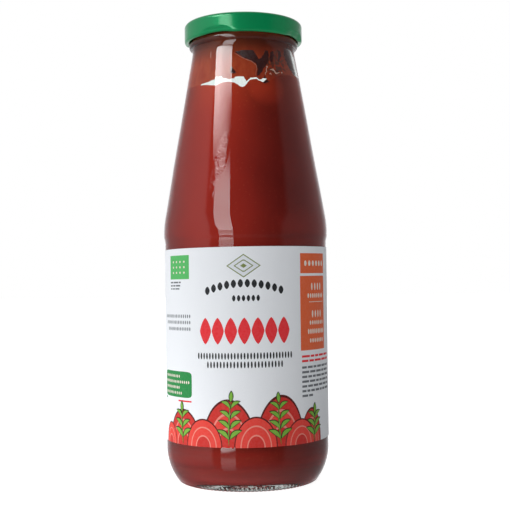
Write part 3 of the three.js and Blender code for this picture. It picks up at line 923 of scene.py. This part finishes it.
# Print: inks as slabs a few hundredths of a millimetre thick, in label coordinates. A place is a turn
# in degrees and a height in millimetres above the label's lower edge, which climbs with the turn.
ornament = {
    "inks": {  # pieces and their colours
        "darkRedPrint": "#5E1815", "deepRedPrint": "#CF3029", "brightRedPrint": "#E8453A",
        "paleRedPrint": "#EE8E80", "redPrint": "#EA3138", "leafEdgePrint": "#2C3A1C",
        "leafPrint": "#7DB53F", "greyPrint": "#70757A", "blackPrint": "#26282B", "olivePrint": "#7C8B4C",
        "bareOrnamentPrint": "#E3E7EC", "leafGreenPrint": "#58BE67", "boxGreenPrint": "#29904A",
        "orangePrint": "#E8683A", "creamPrint": "#F0E6D8",
    },
    "layer": 0.016,  # thickness of a layer of ink
    "sink": 0.02,  # how far a slab reaches into the paper
    "grainWidth": 1.111,
    # fans: turn, half width in degrees, height; the back row, then the front row over it
    "backRow": ((-49, 16.5, 16.4), (-13, 18.5, 21.6), (23, 18.0, 23.0), (49, 11.0, 16.0)),
    "frontRow": ((-65, 8.5, 9.6), (-31, 14.0, 12.6), (5.5, 14.5, 13.8), (38.5, 13.0, 11.6)),
    "bands": (1.0, 0.95, 0.72, 0.67, 0.42, 0.37),  # edge, red, pale ring, red, pale ring, red
    "sprigs": (  # turn of the stem's foot, its lean in degrees, its height, how many pairs of leaves
        (-49, -1.0, 15.5, 3), (-12.5, 1.5, 21.0, 4), (22.5, -1.5, 20.0, 4), (51, 1.0, 13.5, 3),
    ),
    "bars": (  # ink, left, right, lower edge, upper edge, layer
        ("leafGreenPrint", -64.7, -41.8, 75.6, 86.6, 1), ("orangePrint", 39.3, 68.5, 77.3, 86.5, 1),
        ("orangePrint", 39.0, 68.4, 42.1, 76.1, 1), ("creamPrint", 47.5, 66.0, 64.0, 64.25, 2),
        ("redPrint", -54.5, -40.6, 19.5, 20.2, 1), ("boxGreenPrint", -78.0, -74.5, 20.2, 20.9, 1),
    ),
    "rounds": (  # ink, middle, height, half turn, half height, layer, power: 1 a lozenge, 9 nearly a box
        ("olivePrint", -1.6, 81.1, 11.4, 5.3, 1, 1.0),
        ("bareOrnamentPrint", -1.6, 81.1, 10.3, 4.75, 2, 1.0),
        ("olivePrint", -1.6, 81.1, 6.6, 3.0, 3, 1.0),
        ("bareOrnamentPrint", -1.6, 81.1, 5.5, 2.5, 4, 1.0),
        ("olivePrint", -1.6, 81.1, 2.2, 1.0, 5, 1.0),
        ("boxGreenPrint", -58.7, 27.35, 18.5, 5.95, 1, 9.0),
    ),
    "beads": (  # ink, left, right, height, how many, half turn, half height, layer, power, sag of ends
        ("redPrint", -32.7, 29.7, 52, 7, 4.25, 6.0, 1, 1.35),
        ("greyPrint", -75, -41, 58.6, 17, 0.55, 0.85), ("greyPrint", -72, -41, 55.8, 16, 0.55, 0.85),
        ("greyPrint", -69, -41, 52.8, 15, 0.55, 0.85),
        ("blackPrint", -34.5, 31.4, 40.8, 31, 0.62, 1.5),
        ("blackPrint", -27.4, 24.4, 36.9, 23, 0.62, 1.5),
        ("blackPrint", -9.4, 9.0, 66.6, 6, 1.15, 1.45, 1, 1.6),
        ("blackPrint", -28.4, 25.4, 73.3, 12, 1.75, 1.9, 1, 1.6, 3.2),
        ("creamPrint", -75, -52.5, 31.0, 11, 0.62, 0.68, 3),
        ("creamPrint", -76, -42.5, 28.45, 16, 0.62, 0.68, 3),
        ("creamPrint", -75, -53.0, 25.9, 11, 0.62, 0.68, 3),
        ("creamPrint", -76, -50.5, 23.35, 11, 0.62, 0.68, 3),
        ("creamPrint", -60.5, -46.0, 78.6, 4, 0.75, 0.5, 3),
        ("creamPrint", -60.5, -46.0, 81.1, 4, 0.75, 0.5, 3),
        ("creamPrint", -60.5, -46.0, 83.6, 4, 0.75, 0.5, 3),
        ("creamPrint", 43.0, 66.0, 81.9, 6, 1.2, 1.3, 2),
        ("creamPrint", 50.0, 62.5, 71.2, 4, 0.8, 1.7, 2),
        ("creamPrint", 46, 65.5, 67.0, 8, 0.8, 1.1, 2),
        ("creamPrint", 50.5, 62.5, 58.6, 4, 0.8, 1.7, 2),
        ("creamPrint", 48, 65.5, 54.6, 7, 0.8, 1.0, 2), ("creamPrint", 46, 66.5, 50.6, 9, 0.8, 1.2, 2),
        ("creamPrint", 48, 65.5, 46.4, 7, 0.8, 1.0, 2),
    ),
    "dashes": (  # ink, left, right, height, thickness, seed, shortest, longest, gap
        ("greyPrint", -64.2, -50.4, 73.8, 0.7, 1, 2, 6, 0.8),
        ("greyPrint", -64.2, -50.4, 72.3, 0.7, 2, 2, 6, 0.8),
        ("greyPrint", -64.0, -52.0, 70.9, 0.6, 3, 2, 6, 0.8),
        ("greyPrint", 39.9, 76, 33.9, 1, 20, 3, 8, 1), ("greyPrint", 39.9, 76, 31.75, 1, 21, 3, 8, 1),
        ("greyPrint", 39.9, 76, 29.6, 1, 22, 3, 8, 1), ("greyPrint", 39.9, 76, 27.45, 1, 23, 3, 8, 1),
        ("greyPrint", 39.9, 76, 25.3, 1, 24, 3, 8, 1), ("greyPrint", 39.9, 76, 23.15, 1, 25, 3, 8, 1),
        ("greyPrint", 39.9, 52, 21.0, 1, 26, 3, 8, 1), ("redPrint", 39.9, 76, 38.9, 1, 80, 4, 9, 1),
        ("redPrint", 39.9, 76, 36.8, 1, 81, 4, 9, 1),
    ),
}


def inkStrip(lower, upper, layer=1, rows=2):
    # a closed slab between two curves; its ends taper to nothing, so no caps are needed
    lower, upper = np.broadcast_arrays(np.asarray(lower, float), np.asarray(upper, float))
    share = np.linspace(0, 1, rows)[:, None, None]
    places = lower * (1 - share) + upper * share
    places = np.concatenate([places, places[::-1]])
    lift = np.full(places.shape[:2], ornament["layer"] * layer)
    lift[rows:, 1:-1] = -ornament["sink"]
    turn = np.radians(places[..., 0])
    climb = paper["bottom"] + paper["skew"] * glass["panelRadius"] * turn
    points = roundBottle(labelHigh.x + lift, turn, climb + places[..., 1])
    return points.reshape(-1, 3), gridFaces(2 * rows, places.shape[1], wrapRows=True)


def across(fromTurn, toTurn):
    # turns in degrees between two ends, close enough to follow the curve of the label
    return np.linspace(fromTurn, toTurn, max(2, int(abs(toTurn - fromTurn) / 1.2) + 2))


def inkBar(fromTurn, toTurn, low, high, layer=1):
    # a level bar between two heights
    turn = across(fromTurn, toTurn)
    return inkStrip(np.stack([turn, turn * 0 + low], 1), np.stack([turn, turn * 0 + high], 1), layer)


def inkRound(middle, height, halfTurn, halfHeight, layer=1, power=2.0, fromUp=-1.0):
    # superellipse: up = halfHeight (1 - |s|^power)^(1/power); fromUp cuts its foot off level
    s = np.sin(np.linspace(-np.pi / 2, np.pi / 2, max(9, int(halfTurn * 2) + 5)))
    up = halfHeight * np.maximum(1 - np.abs(s) ** power, 0) ** (1 / power)
    turn = middle + halfTurn * s
    down = np.maximum(-up, np.minimum(fromUp * halfHeight, up))
    return inkStrip(np.stack([turn, height + down], 1), np.stack([turn, height + up], 1), layer)


def inkLeaf(start, end, halfWidth, layer=1, bend=0.0):
    # along s the middle line bows by 4 bend s (1 - s), and the width follows sin(pi s)^0.8
    s = np.linspace(0, 1, 15)[:, None]
    perDegree = math.radians(1) * labelHigh.x
    start, end = np.array(start) * [perDegree, 1], np.array(end) * [perDegree, 1]
    way = (end - start) / np.linalg.norm(end - start)
    side = np.array([-way[1], way[0]])
    middle = start + (end - start) * s + side * bend * 4 * s * (1 - s)
    half = side * halfWidth * np.sin(np.pi * s) ** 0.8
    return inkStrip((middle - half) / [perDegree, 1], (middle + half) / [perDegree, 1], layer, 4)


def inkDashes(fromTurn, toTurn, height, thickness, seed, shortest, longest, gap):
    # a line of plain dashes of uneven length
    random = np.random.default_rng(seed)
    bars, turn = [], fromTurn
    while turn < toTurn - 1:
        end = min(turn + random.uniform(shortest, longest), toTurn)
        bars.append(inkBar(turn, end, height, height + thickness))
        turn = end + gap
    return bars


def printInk(name, colour, strips):
    # joins strips into one piece; the ink lets a little of the paper's tooth show as a fine mottle
    points, faces = joinStrips(strips)
    ink, tree = newMaterial(name + " offset ink")
    spot = addNode(tree, "TexCoord").outputs["Object"]
    grain = addNode(tree, "TexNoise", Vector=spot, Scale=cells(ornament["grainWidth"]), Detail=2.0)
    wash = addNode(tree, "MapRange", Value=grain, i1=0.35, i2=0.75, i3=0.0, i4=0.03)
    tint = addNode(tree, "Mix", asColours, i0=wash, i6=srgb(colour), i7=srgb("#E9EDF1"))
    laid = addNode(tree, "BsdfPrincipled", Base_Color=tint.outputs[2], Roughness=0.5, IOR=1.48,
                   Specular_IOR_Level=0.2)
    addNode(tree, "OutputMaterial", Surface=laid)
    makePiece(name, points, faces, ink, sharpDegrees=25)


def inkBeads(fromTurn, toTurn, height, count, halfTurn, halfHeight, layer=1, power=2.0, sag=0.0):
    # a row of beads; sag is how far its ends lie below its middle
    places = np.linspace(-1, 1, count)
    middle, half = (fromTurn + toTurn) / 2, (toTurn - fromTurn) / 2 - halfTurn
    return [inkRound(middle + half * place, height - sag * place ** 2, halfTurn, halfHeight, layer, power)
            for place in places]


strips = {ink: [] for ink in ornament["inks"]}
for row, base, nearInk in (("backRow", 1, "deepRedPrint"), ("frontRow", 6, "brightRedPrint")):
    for middle, halfTurn, height in ornament[row]:
        inks = ("darkRedPrint", nearInk, "paleRedPrint", "brightRedPrint", "paleRedPrint", "deepRedPrint")
        for step, (size, ink) in enumerate(zip(ornament["bands"], inks)):
            layer = base + step * 0.75
            strips[ink].append(inkRound(middle, 0.03, halfTurn * size, height * size, layer, fromUp=0.0))
# each leaf of a sprig is a dark one with a smaller green one over it
edges, greens = strips["leafEdgePrint"], strips["leafPrint"]
for foot, lean, tall, pairs in ornament["sprigs"]:
    edges.append(inkLeaf((foot, 0.4), (foot + lean, tall), 0.42, 12, 0.4))
    greens.append(inkLeaf((foot, 0.6), (foot + lean, tall - 0.2), 0.2, 13, 0.4))
    for pair in range(pairs):
        share = (pair + 0.8) / (pairs + 0.3)
        low = np.array([foot + lean * share, tall * share * 0.94])
        size = 1 - 0.3 * share
        for side in (-1, 1):
            tip = low + [side * 9.2 * size, 4.6 * size]
            edges.append(inkLeaf(low, tip, 1.35 * size, 12, side * 0.9))
            greens.append(inkLeaf(low * 0.93 + tip * 0.07, low * 0.08 + tip * 0.92, 0.95 * size, 13,
                                  side * 0.85))
    edges.append(inkLeaf((foot + lean, tall - 0.8), (foot + lean * 1.3, tall + 4.6), 1.1, 12))
    greens.append(inkLeaf((foot + lean, tall - 0.4), (foot + lean * 1.3, tall + 4.1), 0.75, 13))
for ink, *numbers in ornament["bars"]:
    strips[ink].append(inkBar(*numbers))
for ink, *numbers in ornament["rounds"]:
    strips[ink].append(inkRound(*numbers))
for ink, *numbers in ornament["beads"]:
    strips[ink] += inkBeads(*numbers)
for ink, *numbers in ornament["dashes"]:
    strips[ink] += inkDashes(*numbers)
for ink, colour in ornament["inks"].items():
    printInk(ink, colour, strips[ink])
print("label printed")
